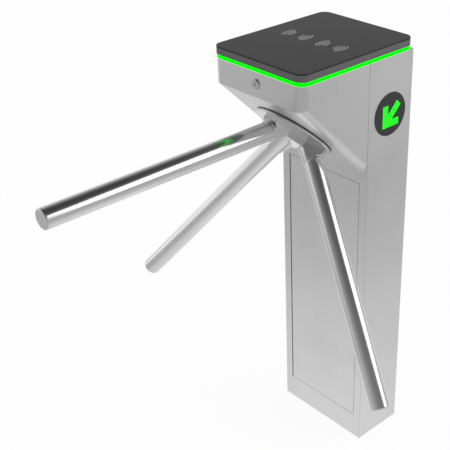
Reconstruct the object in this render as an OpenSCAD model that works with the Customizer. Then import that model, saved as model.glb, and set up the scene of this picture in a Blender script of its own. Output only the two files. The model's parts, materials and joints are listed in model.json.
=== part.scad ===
// Tripod turnstile: a post with a slant-faced head, three arms on a 45 degree rotor,
// and behind the slanted face the plates, bearings, locking pawls, detent and damper.
// The origin is on the floor at the centre of the post. +Z is up, the arms reach out to -Y.

/* [Cabinet] */
// Width of the cabinet across the lane
cabinet_w = 258; // [240:1:300]
// Depth of the post, front to back
post_d = 133; // [126:1:160]
// Depth of the head, front to back
head_d = 323; // [310:1:340]
// Height to the top of the lid
total_h = 1000; // [960:1:1060]
// Thickness of the stainless sheet
sheet = 2; // [1.5:0.1:3]
// Radius of the head's corners and of the lid's
head_corner_r = 20; // [14:1:26]
// Height of the upright band above the slanted face
front_band_h = 53.5; // [48:0.5:60]
// Width of the strip that the post turns in beside its door
return_w = 20.5; // [18:0.5:26]
// Depth of the folded edges of the panels
fold_d = 14; // [10:1:18]

/* [Base] */
// Thickness of the base plate
base_t = 12; // [8:1:16]
// Spacing of the floor bolts across the cabinet
bolt_dx = 190; // [160:1:210]
// Spacing of the floor bolts front to back
bolt_dy = 84; // [70:1:96]
// Radius of the floor bolt holes
bolt_hole_r = 7; // [5:0.5:9]
// Radius of the cable entry in the base plate
cable_r = 20; // [14:1:24]

/* [Lid] */
// Height of the lid
lid_h = 17; // [14:0.5:22]
// Thickness of the glass panel on the lid
glass_t = 3; // [2:0.5:4]
// How far the lid stands proud of the cabinet
lid_proud = 1; // [0.5:0.1:1.5]
// Bevel round the top of the glass
glass_bevel = 1; // [0.5:0.1:1.5]
// Height of the light strip
strip_h = 8.3; // [7.5:0.1:11]
// Width of the light strip, outside to inside
strip_w = 9; // [8:0.5:12]
// Width of the flange of the top frame
flange_w = 14; // [12:1:15]
// Thickness of the top frame
frame_t = 3; // [2:0.5:4]
// Radius of the rounded rear edge that the lid turns on
lid_barrel_r = 4.2; // [3.8:0.1:4.4]
// Radius of the lid's hinge pins
lid_pin_r = 2; // [1.5:0.1:2.2]

/* [Door] */
// Height of the plinth panel
plinth_h = 63.5; // [50:0.5:90]
// Height of the fixed panel above the door
upper_h = 29.5; // [24:0.5:40]
// Gap round the door
door_gap = 0.8; // [0.6:0.1:1.5]
// Radius of the door's hinge edge
door_edge_r = 4; // [3.5:0.1:4.5]
// Radius of the door's pivot pins
door_pin_r = 1.8; // [1.4:0.1:1.9]

/* [Lock] */
// Height of the lock below the light strip
lock_drop = 25; // [22:1:28]
// Radius of the lock's threaded barrel
lock_r = 8.5; // [7:0.5:10]
// Radius of the lock's face
lock_face_r = 10.5; // [9.5:0.5:12]
// Length of the barrel behind the face
lock_len = 22; // [20:0.5:26]
// Length of the locking cam from its axis
lock_cam_len = 27; // [24:0.5:29]

/* [Indicator] */
// Radius of the round arrow indicators on the sides
lens_r = 48; // [40:0.5:50]
// Depth of the indicators' middle below the light strip
lens_drop = 126.7; // [115:0.1:134]
// Thickness of the indicator lens
lens_t = 3; // [2.5:0.5:4]
// How far the lens stands proud of the side
lens_proud = 1; // [0.5:0.1:1.4]
// Width of the rim of the lens that overlaps the side
lens_rim = 4; // [3:0.5:5]

/* [Arms] */
// Radius of the arm tubes
arm_r = 20.5; // [19:0.5:21]
// Wall of the arm tubes
arm_wall = 1.5; // [1.2:0.1:2.5]
// Length of an arm from the point where the three axes meet
arm_reach = 620; // [560:1:640]
// Angle between the rotor's axis and each arm
cone_angle = 45; // [44:0.5:46]
// How far behind the slanted face the arm axes meet
apex_depth = 29.9; // [29:0.1:31]

/* [Hub] */
// Radius of the rotor disc
disc_r = 90; // [88:1:96]
// Gap between the slanted face and the rotor disc
disc_gap = 2; // [1.5:0.1:2.5]
// Thickness of the rotor disc
disc_t = 4; // [3.5:0.5:5]
// Height of the hub's body above the rotor disc
hub_h = 20; // [18:0.5:22]
// Distance from the axis to the hub's wall under each arm
arm_wall_r = 80; // [78:0.5:82]
// Half the width of the hub's wall under each arm
arm_wall_half = 18; // [16:0.5:20]
// Distance from the axis to the hub's wall between two arms
web_wall_r = 54; // [52:0.5:56]
// Half the width of the hub's wall between two arms
web_wall_half = 18.4; // [17:0.2:20]
// Distance along an arm's axis at which its lug is cut square
lug_end = 89.5; // [88:0.5:92]
// Distance from an arm's axis up to the flat top of its lug
lug_rise = 10.5; // [9:0.5:13]
// Radius of the sleeve round each arm
sleeve_r = 22.5; // [22:0.1:24]
// Distance along an arm's axis at which its sleeve ends
sleeve_end = 97; // [95:0.5:100]
// Depth along an arm's axis at which its tube is seated
arm_seat = 75; // [74.5:0.5:78]

/* [Mechanism] */
// Thickness of the two mechanism plates
plate_t = 8; // [6:0.5:10]
// Half the width of the mechanism plates
plate_half_w = 96; // [94:1:100]
// Upper edge of the plates, from the rotor's axis
plate_up = 88; // [86:1:90]
// Lower edge of the plates, from the rotor's axis
plate_down = 98; // [96:1:101]
// Radius of the main shaft
shaft_r = 15; // [14:0.5:16]
// Outer radius of the ball bearings
bearing_r = 27.5; // [26:0.5:29]
// Width of the ball bearings
bearing_w = 13; // [12:0.5:14]
// Radius of the locking disc
lock_disc_r = 52; // [50:0.5:53]
// Radius of the detent cam
cam_r = 46; // [44:0.5:47]
// Radius of the detent roller
roller_r = 14; // [12:0.5:14.5]
// Teeth of the damper gear, a multiple of four times the ratio
gear_teeth = 80; // [80:80:80]
// Teeth of the damper pinion
pinion_teeth = 20; // [20:20:20]
// Module of the damper gears
gear_module = 1.5; // [1.4:0.05:1.5]

/* [Hidden] */
$fn = 64;

// One overrun for every cut, and the clearances
over = 1;
seat_gap = 0.3;
fit_gap = 0.05;
arc_over = 0.02;
corner_r_min = 0.5;

// Heights
lid_z = total_h - lid_h;
rim_z = lid_z - strip_h;
band_z = rim_z - front_band_h;
post_front = -post_d / 2;
post_back = post_d / 2;
head_front = post_back - head_d;
slope_drop = post_front - head_front;
neck_z = band_z - slope_drop;
lens_z = rim_z - lens_drop;
half_w = cabinet_w / 2;
door_half = half_w - return_w;
face_tilt = 45;

// Places on the slanted face: local z stands out of it, local y runs up it
axis_up_share = 0.4625;
axis_run = axis_up_share * slope_drop;
face_y = post_front - axis_run;
face_z = neck_z + axis_run;
shaft_hole_r = 34;

module on_face() {
    translate([0, face_y, face_z]) rotate([90 + face_tilt, 0, 0]) children();
}

module on_arm(k) {
    on_face() rotate([0, 0, -120 * k]) translate([0, 0, -apex_depth]) rotate([-cone_angle, 0, 0]) children();
}

// A rectangle from two corners with a radius at its front corners, its back corners, or both
module round_rect(x, y0, y1, r_front, r_back) {
    difference() {
        translate([-x, y0]) square([2 * x, y1 - y0]);
        for (s = [-1, 1]) {
            if (r_front > 0) corner_cut(s * x, y0, -s, 1, r_front);
            if (r_back > 0) corner_cut(s * x, y1, -s, -1, r_back);
        }
    }
}

// Rectangle with its two front corners rounded, joined from plain pieces that meet where the arcs start
module round_front(x, y0, y1, r) {
    translate([-x, y0 + r]) square([2 * x, y1 - y0 - r]);
    translate([-x + r, y0]) square([2 * x - 2 * r, y1 - y0]);
    for (s = [-1, 1]) translate([s * (x - r), y0 + r]) circle(r);
}

module corner_cut(x, y, sx, sy, r) {
    translate([x, y]) difference() {
        translate([sx > 0 ? -over : -r, sy > 0 ? -over : -r]) square([r + over, r + over]);
        translate([sx * r, sy * r]) circle(r);
    }
}

// Base plate with four floor bolt holes and a cable entry
base_gap = 0.3;
base_lip_h = 22;
base_lip_t = 3;
cable_y = -22;
module base_plate() color("#6f7378") difference() {
    union() {
        translate([-half_w + sheet + base_gap, post_front + sheet + base_gap, 0])
            cube([cabinet_w - 2 * sheet - 2 * base_gap, post_d - 2 * sheet - 2 * base_gap, base_t]);
        for (s = [-1, 1]) translate([s * (half_w - sheet - base_gap - base_lip_t / 2), 0, base_t])
            translate([-base_lip_t / 2, -bolt_dy / 2, 0]) cube([base_lip_t, bolt_dy, base_lip_h]);
    }
    for (x = [-1, 1], y = [-1, 1]) translate([x * bolt_dx / 2, y * bolt_dy / 2, -over])
        cylinder(h = base_t + 2 * over, r = bolt_hole_r);
    translate([0, cable_y, -over]) cylinder(h = base_t + 2 * over, r = cable_r);
}

grommet_wall = 3;
grommet_lip = 3;
module cable_grommet() color("#222222") translate([0, cable_y, 0]) rotate_extrude() polygon([
    [cable_r - grommet_wall, 0], [cable_r - fit_gap, 0],
    [cable_r - fit_gap, base_t], [cable_r + grommet_lip, base_t],
    [cable_r + grommet_lip, base_t + grommet_lip], [cable_r - grommet_wall, base_t + grommet_lip],
]);

// Post: back, sides and front returns, folded from one sheet
module post_outline() {
    difference() {
        translate([-half_w, post_front]) square([cabinet_w, post_d]);
        translate([-half_w + sheet, post_front + sheet])
            square([cabinet_w - 2 * sheet, post_d - 2 * sheet]);
        translate([-door_half, post_front - over]) square([2 * door_half, sheet + 2 * over]);
    }
}

// The returns run up past the neck, as far as the rounded edges of the head's slanted face reach
corner_rise = head_corner_r / cos(face_tilt);
corner_x = half_w - max(return_w, head_corner_r);

module post_shell() color("#b0b0b0") difference() {
    union() {
        linear_extrude(rim_z) post_outline();
        for (s = [-1, 1]) translate([s * (door_half + sheet / 2) - sheet / 2, post_front, base_t + seat_gap])
            cube([sheet, 2 * fold_d, neck_z - base_t - seat_gap]);
    }
    translate([-corner_x, post_front - over, neck_z])
        cube([2 * corner_x, sheet + 2 * over, rim_z]);
    translate([-half_w + sheet, post_front - over, neck_z + corner_rise])
        cube([cabinet_w - 2 * sheet, sheet + 2 * over, rim_z]);
    for (s = [-1, 1]) translate([s * half_w, 0, lens_z]) rotate([0, 90, 0])
        cylinder(h = 2 * lens_t, r = lens_body_r + fit_gap, center = true);
}

// Head: sides, front band and slanted face, open to the post behind it and at the top
module head_solid(inset) {
    reach = 3 * head_d;
    extra = inset > 0 ? over : 0;
    end_y = post_front + extra;
    top_z = rim_z + extra;
    bend_z = band_z + inset * tan(face_tilt / 2);
    rise = over / tan(face_tilt);
    end_z = bend_z - (end_y - head_front - inset) / tan(face_tilt);
    intersection() {
        translate([0, 0, end_z - over]) linear_extrude(top_z - end_z + over)
            round_front(half_w - inset, head_front + inset, end_y, head_corner_r - inset);
        translate([-half_w - over, 0, 0]) rotate([90, 0, 90]) linear_extrude(cabinet_w + 2 * over)
            polygon([
                [head_front + inset - over, bend_z + rise],
                [head_front + inset - over, top_z + over],
                [end_y + over, top_z + over],
                [end_y + over, end_z - rise]
            ]);
        translate([0, post_front, neck_z]) rotate([90 + face_tilt, 0, 0])
            translate([0, -head_d, 0]) rotate([-90, 0, 0]) linear_extrude(reach)
                slope_corners(half_w - inset, inset, reach, head_corner_r - inset);
    }
}

// Section across the slanted face that only its two corner arcs reach, just past both neighbouring planes
module slope_corners(x, y0, y1, r) {
    translate([-x + r, y0 - over]) square([2 * x - 2 * r, y1 - y0 + over]);
    translate([-x - over, y0 + r]) square([2 * x + 2 * over, y1 - y0 - r]);
    for (s = [-1, 1]) translate([s * (x - r), y0 + r]) circle(r + arc_over);
}

module head_shell() color("#b4b4b4") difference() {
    head_solid(0);
    head_solid(sheet);
    on_face() translate([0, 0, -sheet - over]) cylinder(h = sheet + 2 * over, r = shaft_hole_r);
    at_lock() translate([0, 0, -sheet - over]) cylinder(h = sheet + 2 * over, r = lock_r + fit_gap);
}

// Fixed panels under and over the door
module front_pan(z0, z1) {
    translate([-door_half, post_front, z0]) cube([2 * door_half, sheet, z1 - z0]);
    for (z = [z0, z1 - sheet]) translate([-door_half + sheet, post_front, z])
        cube([2 * door_half - 2 * sheet, fold_d, sheet]);
}

module pivot_hole() {
    translate([-door_half + door_gap + door_edge_r, post_front + door_edge_r, 0])
        cylinder(h = total_h, r = door_pin_r + fit_gap);
}

module plinth_panel() color("#b6b6b6") difference() {
    front_pan(base_gap, plinth_h);
    translate([-half_w, post_front + sheet, -over]) cube([cabinet_w, fold_d, base_t + over + base_gap]);
    pivot_hole();
}

module upper_panel() color("#b0b0b0") difference() {
    front_pan(neck_z - upper_h, neck_z);
    pivot_hole();
}

// Top frame: an angle ring inside the top of the cabinet
frame_h = 20;
module ring(inset, width, r_front, r_back) {
    difference() {
        round_rect(half_w - inset, head_front + inset, post_back - inset, r_front, r_back);
        round_rect(half_w - inset - width, head_front + inset + width, post_back - inset - width,
            max(r_front - width, corner_r_min), max(r_back - width, corner_r_min));
    }
}

module top_frame() color("#8d9095") difference() {
    union() {
        translate([0, 0, rim_z - frame_h]) linear_extrude(frame_h)
            ring(sheet + fit_gap, frame_t, head_corner_r - sheet, sheet);
        translate([0, 0, rim_z - frame_t]) linear_extrude(frame_t)
            ring(sheet + fit_gap, flange_w, head_corner_r - sheet, sheet);
    }
    // room for the lock's nut
    at_lock() translate([0, 0, -sheet - 2 * frame_t])
        cylinder(h = 2 * frame_t + over, r = lock_nut_r + notch_gap);
}

hinge_y = post_back - lid_barrel_r + lid_proud;
hinge_z = lid_z;
bracket_x = 88;
bracket_t = 8;
notch_gap = 0.5;

module at_brackets() for (s = [-1, 1])
    translate([s * bracket_x, hinge_y, hinge_z]) rotate([0, 90, 0]) children();

module lid_hinge_brackets() color("#8d9095") difference() {
    union() {
        for (s = [-1, 1]) translate([s * bracket_x - bracket_t / 2, hinge_y - lid_barrel_r, rim_z])
            cube([bracket_t, 2 * lid_barrel_r - lid_proud, hinge_z - rim_z]);
        at_brackets() cylinder(h = bracket_t, r = lid_barrel_r, center = true);
    }
    at_brackets() cylinder(h = bracket_t + 2 * over, r = lid_pin_r + fit_gap, center = true);
}

groove_r = lid_barrel_r + 2 * seat_gap;
module hinge_groove(r) {
    translate([0, hinge_y, hinge_z]) rotate([0, 90, 0]) cylinder(h = 2 * cabinet_w, r = r, center = true);
}

module bracket_notches(extra) {
    for (s = [-1, 1])
        translate([s * bracket_x - bracket_t / 2 - extra, hinge_y - lid_barrel_r - extra, rim_z - over])
            cube([bracket_t + 2 * extra, strip_w + lid_h, strip_h + lid_h]);
}

module light_strip() color("#00ff00") difference() {
    translate([0, 0, rim_z]) linear_extrude(strip_h - seat_gap)
        ring(0, strip_w, head_corner_r, head_corner_r);
    hinge_groove(groove_r);
    bracket_notches(notch_gap);
}

// Lock in the front band: barrel and nut stand still, the plug with its cam turns
lock_z = rim_z - lock_drop;
lock_face_t = 3;
lock_bevel = 1;
lock_plug_r = 5.5;
lock_cam_t = 2.5;
lock_nut_t = 5;
lock_nut_r = 13;
module at_lock() translate([0, head_front, lock_z]) rotate([90, 0, 0]) children();

module lock_barrel() color("#d5d5d5") at_lock() difference() {
    union() {
        rotate_extrude() polygon([[0, 0], [lock_face_r, 0], [lock_face_r, lock_face_t - lock_bevel],
            [lock_face_r - lock_bevel, lock_face_t], [0, lock_face_t]]);
        translate([0, 0, -lock_len]) cylinder(h = lock_len + over, r = lock_r);
    }
    translate([0, 0, -lock_len - over]) cylinder(h = 2 * lock_len, r = lock_plug_r + fit_gap);
}

module lock_nut() color("#b9b9b0") at_lock() translate([0, 0, -sheet - lock_nut_t]) difference() {
    cylinder(h = lock_nut_t, r = lock_nut_r, $fn = 6);
    translate([0, 0, -over]) cylinder(h = lock_nut_t + 2 * over, r = lock_r + fit_gap);
}

key_w = 2;
key_l = 6;
cam_boss_r = 7;
cam_half_w = 6;
module lock_plug() color("#c4c4c4") at_lock() difference() {
    cam_back = -lock_len - lock_cam_t - seat_gap;
    union() {
        translate([0, 0, cam_back]) cylinder(h = lock_face_t - cam_back, r = lock_plug_r);
        translate([0, 0, cam_back]) {
            cylinder(h = lock_cam_t, r = cam_boss_r);
            translate([-cam_half_w, 0, 0]) cube([2 * cam_half_w, lock_cam_len, lock_cam_t]);
        }
        translate([0, 0, cam_back - key_w]) cylinder(h = key_w, r = lock_plug_r);
    }
    translate([-key_w / 2, -key_l / 2, 0]) cube([key_w, key_l, lock_face_t + over]);
}

// Round arrow indicators on both sides of the post
lens_body_r = lens_r - lens_rim;
lens_back = lens_proud - lens_t;
lens_box_d = 18;
housing_wall = 2;
arrow_t = 0.4;
arrow_offset = 3.5;
// Half of the arrow's outline, along its direction and across it, as shares of the lens radius
arrow_half_share = [[0.758, 0], [0.036, 0.722], [-0.192, 0.494], [0.133, 0.17], [-0.674, 0.17]];
module at_side(s) translate([s * half_w, 0, lens_z]) rotate([0, s * 90, 0]) children();

module indicator_lenses() color("#2d2d2d") for (s = [-1, 1]) at_side(s) difference() {
    rotate_extrude() polygon([[0, lens_back], [lens_body_r, lens_back], [lens_body_r, 0], [lens_r, 0],
        [lens_r, lens_proud / 2], [lens_r - lens_proud / 2, lens_proud], [0, lens_proud]]);
    arrow(s, lens_proud - arrow_t, over);
}

module arrow(s, z, h) {
    half = [for (p = arrow_half_share) [p[0] * lens_r, p[1] * lens_r]];
    mirrored = [for (i = [len(half) - 1:-1:1]) [half[i][0], -half[i][1]]];
    translate([0, 0, z]) rotate([0, 0, s > 0 ? -45 : -135])
        translate([0, s * arrow_offset, 0]) linear_extrude(h) polygon(concat(half, mirrored));
}

module indicator_arrows() color("#22ff22") for (s = [-1, 1])
    at_side(s) arrow(s, lens_proud - arrow_t, arrow_t);

module indicator_housings() color("#303234") for (s = [-1, 1])
    at_side(s) translate([0, 0, lens_back - lens_box_d]) difference() {
        cylinder(h = lens_box_d, r = lens_body_r - seat_gap);
        translate([0, 0, housing_wall]) cylinder(h = lens_box_d, r = lens_body_r - seat_gap - housing_wall);
    }

// Mechanism: depths behind the slanted face, in local -z
flange_z = -4;
bearing_front_z = -12;
housing_front_z = -10.5;
front_plate_z = -16;
front_flange_t = 8;
rear_plate_z = -88;
rear_bearing_z = -89;
rear_flange_t = 8;
lock_disc_z = -38;
lock_disc_t = 8;
cam_z = -56;
cam_t = 10;
gear_z = -72;
gear_t = 7;
housing_r = 38;
housing_flange_r = 51;
pillar_r = 7;
pillar_foot_r = 9;
pillar_end_r = 4;
plate_edge = 3;
plate_edge_low = 1;
pillar_x = plate_half_w - plate_edge - pillar_r;
pillar_up = plate_up - plate_edge - pillar_r;
pillar_down = plate_down - plate_edge_low - pillar_r;
bearing_lip = 4;
damper_y = -gear_module * (gear_teeth + pinion_teeth) / 2;

module at_pillars() for (x = [-1, 1], y = [pillar_up, -pillar_down])
    translate([x * pillar_x, y, 0]) children();

module plate_blank(z, hole_r) translate([0, 0, z - plate_t]) linear_extrude(plate_t) difference() {
    translate([-plate_half_w, -plate_down]) square([2 * plate_half_w, plate_up + plate_down]);
    circle(housing_r + fit_gap);
    at_pillars() circle(hole_r + fit_gap);
}

module front_plate() color("#9a9fa5") on_face() plate_blank(front_plate_z, pillar_r);

module rear_plate() color("#9a9fa5") on_face() difference() {
    plate_blank(rear_plate_z, pillar_end_r);
    translate([0, damper_y, rear_plate_z - plate_t - over])
        cylinder(h = plate_t + 2 * over, r = damper_neck_r + fit_gap);
}

// Each pillar stands on the back of the slanted sheet and carries both plates on its steps
module plate_pillars() color("#a8a8a8") on_face() at_pillars() rotate_extrude() polygon([
    [0, -sheet], [pillar_foot_r, -sheet], [pillar_foot_r, front_plate_z], [pillar_r, front_plate_z],
    [pillar_r, rear_plate_z], [pillar_end_r, rear_plate_z], [pillar_end_r, rear_plate_z - plate_t],
    [0, rear_plate_z - plate_t],
]);

module front_housing() {
    back = front_plate_z - plate_t;
    rotate_extrude() polygon([
        [bearing_r + fit_gap, housing_front_z], [housing_r, housing_front_z], [housing_r, back],
        [housing_flange_r, back], [housing_flange_r, back - front_flange_t],
        [bearing_r - bearing_lip, back - front_flange_t],
        [bearing_r - bearing_lip, bearing_front_z - bearing_w],
        [bearing_r + fit_gap, bearing_front_z - bearing_w],
    ]);
}

module rear_housing() {
    front = rear_plate_z + bearing_lip;
    back = rear_plate_z - plate_t;
    rotate_extrude() polygon([
        [bearing_r - bearing_lip, front], [housing_r, front], [housing_r, back],
        [housing_flange_r, back], [housing_flange_r, back - rear_flange_t],
        [bearing_r + fit_gap, back - rear_flange_t], [bearing_r + fit_gap, rear_bearing_z],
        [bearing_r - bearing_lip, rear_bearing_z],
    ]);
}

module bearing_housings() color("#8a8f94") on_face() {
    front_housing();
    rear_housing();
}

shield_in = 1.2;
ring_share = 0.28;
module ball_bearing(z) translate([0, 0, z - bearing_w]) rotate_extrude() {
    inner = shaft_r + (bearing_r - shaft_r) * ring_share;
    outer = bearing_r - (bearing_r - shaft_r) * ring_share;
    high = bearing_w - shield_in;
    polygon([[shaft_r + fit_gap, 0], [inner, 0], [inner, shield_in], [outer, shield_in],
        [outer, 0], [bearing_r, 0], [bearing_r, bearing_w], [outer, bearing_w],
        [outer, high], [inner, high], [inner, bearing_w], [shaft_r + fit_gap, bearing_w]]);
}

module ball_bearings() color("#c9ccd0") on_face() {
    ball_bearing(bearing_front_z);
    ball_bearing(rear_bearing_z);
}

// Locking pawls: each turns on a pin, and its nose enters a notch of the locking disc
nose_angle = 20;
pawl_arm = 36;
pawl_offset = 9;
pawl_boss_r = 9;
pawl_t = 6;
pawl_pin_r = 4;
pawl_shoulder_r = 7;
pawl_arm_in = 2;
pawl_arm_out = 7;
nose_w = 7;
notch_w = 11.6;
notch_angle = 18.1;
// The disc and the cam repeat half-way between the arms' three places, so a turn can be held there too
index_count = 6;
slot_gap = 0.15;
notch_depth = 9;
nose_gap = 0.8;
solenoid_y = -72;
solenoid_half = 16;
solenoid_x0 = 8;
solenoid_x1 = 50;
plunger_r = 6;
plunger_back = 6;
clevis_r = 9;
clevis_pin_r = 2.5;
slot_run = 2.2;
pawl_radial = lock_disc_r + nose_gap + pawl_offset;
pawl_x = pawl_radial * cos(nose_angle) + pawl_arm * sin(nose_angle);
pawl_y = pawl_radial * sin(nose_angle) - pawl_arm * cos(nose_angle);
pawl_z = lock_disc_z - (lock_disc_t - pawl_t) / 2;
pin_head_t = 2;

module at_hand(s) on_face() mirror([s < 0 ? 1 : 0, 0, 0]) children();

module pawl_pins() color("#c0c0c0") for (s = [-1, 1]) at_hand(s) translate([pawl_x, pawl_y, 0]) {
    seat = pawl_z + seat_gap;
    head = pawl_z - pawl_t - seat_gap;
    rotate_extrude() polygon([
        [0, front_plate_z - plate_t], [pawl_shoulder_r, front_plate_z - plate_t], [pawl_shoulder_r, seat],
        [pawl_pin_r, seat], [pawl_pin_r, head], [pawl_shoulder_r, head],
        [pawl_shoulder_r, head - pin_head_t], [0, head - pin_head_t],
    ]);
}

module pawl_slot() {
    slot_r = clevis_pin_r + slot_gap;
    circle(slot_r);
    translate([-slot_r, -slot_run]) square([2 * slot_r, slot_run]);
    translate([0, -slot_run]) circle(slot_r);
}

module pawl() translate([0, 0, pawl_z - pawl_t]) linear_extrude(pawl_t) difference() {
    union() {
        translate([pawl_x, pawl_y]) circle(pawl_boss_r);
        // arm beside the disc
        translate([pawl_x, pawl_y]) rotate(nose_angle) translate([-pawl_arm_in, 0])
            square([pawl_arm_in + pawl_arm_out, pawl_arm + nose_w / 2]);
        // nose, pointing at the disc's centre
        rotate(nose_angle) translate([lock_disc_r + nose_gap, -nose_w / 2]) square([pawl_offset, nose_w]);
        // tail down to the solenoid
        translate([pawl_x - pawl_boss_r / 2, solenoid_y]) square([pawl_boss_r, pawl_y - solenoid_y]);
        translate([pawl_x, solenoid_y - slot_run / 2]) circle(pawl_boss_r * tail_end_share);
    }
    translate([pawl_x, pawl_y]) circle(pawl_pin_r + fit_gap);
    translate([pawl_x, solenoid_y]) pawl_slot();
}

tail_end_share = 0.7;
module right_pawl() color("#7d8288") at_hand(1) pawl();
module left_pawl() color("#7d8288") at_hand(-1) pawl();

module solenoids() color("#3b3f45") for (s = [-1, 1]) at_hand(s) difference() {
    solenoid_w = 2 * solenoid_half;
    translate([solenoid_x0, solenoid_y - solenoid_half, front_plate_z - plate_t - solenoid_w])
        cube([solenoid_x1 - solenoid_x0, solenoid_w, solenoid_w]);
    translate([solenoid_x0 + plunger_back / 2, solenoid_y, pawl_z - pawl_t / 2]) rotate([0, 90, 0])
        cylinder(h = solenoid_x1, r = plunger_r + fit_gap);
}

module plunger() translate([0, solenoid_y, pawl_z - pawl_t / 2]) {
    back = solenoid_x0 + plunger_back;
    jaw = pawl_t + 2 * seat_gap;
    difference() {
        rotate([0, 90, 0]) {
            translate([0, 0, back]) cylinder(h = pawl_x - back, r = plunger_r);
            translate([0, 0, pawl_x - clevis_r]) cylinder(h = 2 * clevis_r, r = clevis_r);
        }
        translate([pawl_x - clevis_r + clevis_pin_r, -2 * clevis_r, -jaw / 2])
            cube([3 * clevis_r, 4 * clevis_r, jaw]);
    }
    translate([pawl_x, 0, 0]) cylinder(h = 2 * plunger_r, r = clevis_pin_r, center = true);
}

module right_plunger() color("#b8bcc0") at_hand(1) plunger();
module left_plunger() color("#b8bcc0") at_hand(-1) plunger();

// Detent: a sprung lever whose roller drops into a hollow of the cam at each sixth of a turn
hollow_r = 24;
hollow_depth = 8;
roller_gap = 0.6;
lever_x = -66;
lever_t = 4;
lever_w = 14;
lever_gap = 0.5;
lever_rise = 5;
lever_z = cam_z + lever_rise;
roller_y = cam_r + roller_r + roller_gap;
roller_pin_r = 4;
lever_pin_r = 5;
lever_shoulder_r = 9;
spring_x = 76;
spring_foot_y = 6;
spring_post_r = 3;
spring_seat = 6;
spring_r = 4.5;
spring_wire_r = 0.9;
spring_turns = 13;
spring_steps = 12;
spring_sides = 6;
roller_z = lever_z - lever_t - lever_gap;

module detent_posts() color("#c0c0c0") on_face() {
    seat = lever_z + seat_gap;
    head = lever_z - lever_t - seat_gap;
    translate([lever_x, roller_y, 0]) rotate_extrude() polygon([
        [0, front_plate_z - plate_t], [lever_shoulder_r, front_plate_z - plate_t], [lever_shoulder_r, seat],
        [lever_pin_r, seat], [lever_pin_r, head], [lever_shoulder_r, head],
        [lever_shoulder_r, head - pin_head_t], [0, head - pin_head_t],
    ]);
    translate([spring_x, spring_foot_y, rear_plate_z])
        cylinder(h = lever_z - rear_plate_z, r = spring_post_r);
    translate([spring_x - spring_seat, spring_foot_y, lever_z - lever_t / 2 - spring_seat])
        cube([2 * spring_seat, spring_post_r, 2 * spring_seat]);
}

module detent_lever() color("#85898f") on_face() difference() {
    pin_back = roller_z - cam_t - lever_gap - pin_head_t;
    union() {
        translate([0, 0, lever_z - lever_t]) linear_extrude(lever_t) {
            translate([lever_x, roller_y - lever_w / 2]) square([spring_x - lever_x + lever_w / 2, lever_w]);
            translate([lever_x, roller_y]) circle(lever_w / 2);
        }
        translate([0, roller_y, pin_back]) cylinder(h = lever_z - lever_t - pin_back, r = roller_pin_r);
        translate([0, roller_y, pin_back]) cylinder(h = pin_head_t, r = roller_pin_r + pin_head_t);
    }
    translate([lever_x, roller_y, lever_z - lever_t - over])
        cylinder(h = lever_t + 2 * over, r = lever_pin_r + fit_gap);
}

module detent_roller() color("#40444a") on_face() translate([0, roller_y, roller_z - cam_t]) difference() {
    cylinder(h = cam_t, r = roller_r);
    translate([0, 0, -over]) cylinder(h = cam_t + 2 * over, r = roller_pin_r + fit_gap);
}

// A round wire swept along a helix that climbs local y
function coil_ring(a, y0, y1) = [for (j = [0:spring_sides - 1])
    let (b = 360 * j / spring_sides, r = spring_r + spring_wire_r * cos(b))
    [r * cos(a), y0 + (y1 - y0) * a / 360 / spring_turns + spring_wire_r * sin(b), r * sin(a)]];

module coil(y0, y1) {
    n = spring_turns * spring_steps;
    points = [for (i = [0:n]) each coil_ring(360 * i / spring_steps, y0, y1)];
    sides = [for (i = [0:n - 1], j = [0:spring_sides - 1])
        let (k = (j + 1) % spring_sides, p = i * spring_sides, q = p + spring_sides)
        each [[p + j, p + k, q + j], [p + k, q + k, q + j]]];
    ends = concat([for (j = [1:spring_sides - 2]) [0, j + 1, j]],
        [for (j = [1:spring_sides - 2]) [n * spring_sides, n * spring_sides + j, n * spring_sides + j + 1]]);
    polyhedron(points, concat(sides, ends));
}

module detent_spring() color("#d8dadc") on_face() translate([spring_x, 0, lever_z - lever_t / 2]) {
    foot = spring_foot_y + spring_post_r + spring_wire_r + seat_gap;
    coil(foot, roller_y - lever_w / 2 - spring_wire_r - seat_gap);
}

// Damper: a geared rotary damper behind the rear plate
damper_r = 20;
damper_len = 32;
damper_neck_r = 8;
damper_shaft_r = 4;
damper_bore = 14;
gear_extra = 1;

module damper_body() color("#25282c") on_face() translate([0, damper_y, rear_plate_z]) difference() {
    union() {
        translate([0, 0, -plate_t - damper_len]) cylinder(h = damper_len, r = damper_r);
        translate([0, 0, -plate_t - over]) cylinder(h = plate_t + over, r = damper_neck_r);
    }
    translate([0, 0, -damper_bore - seat_gap])
        cylinder(h = damper_bore + seat_gap + over, r = damper_shaft_r + fit_gap);
}

pressure_angle = 20;
backlash = 0.12;
root_share = 1.25;
tip_share = 0.95;
function inv_deg(c) = tan(acos(c)) * 180 / PI - acos(c);
function tooth_half(z, r) = let (p = gear_module * z / 2, b = p * cos(pressure_angle))
    90 / z + inv_deg(b / p) - inv_deg(b / max(r, b)) - backlash / p * 180 / PI;
function flank_radii(z) = let (p = gear_module * z / 2, b = p * cos(pressure_angle),
    f = p - root_share * gear_module, t = p + tip_share * gear_module, s = max(b, f)) [f, (s + t) / 2, t];
function tooth(z, i) = let (radii = flank_radii(z), n = len(radii) - 1) concat(
    [for (r = radii) let (a = 360 * i / z - tooth_half(z, r)) [r * cos(a), r * sin(a)]],
    [for (j = [n:-1:0]) let (r = radii[j], a = 360 * i / z + tooth_half(z, r)) [r * cos(a), r * sin(a)]]);
module gear_shape(z) polygon([for (i = [0:z - 1]) each tooth(z, i)]);

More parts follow.
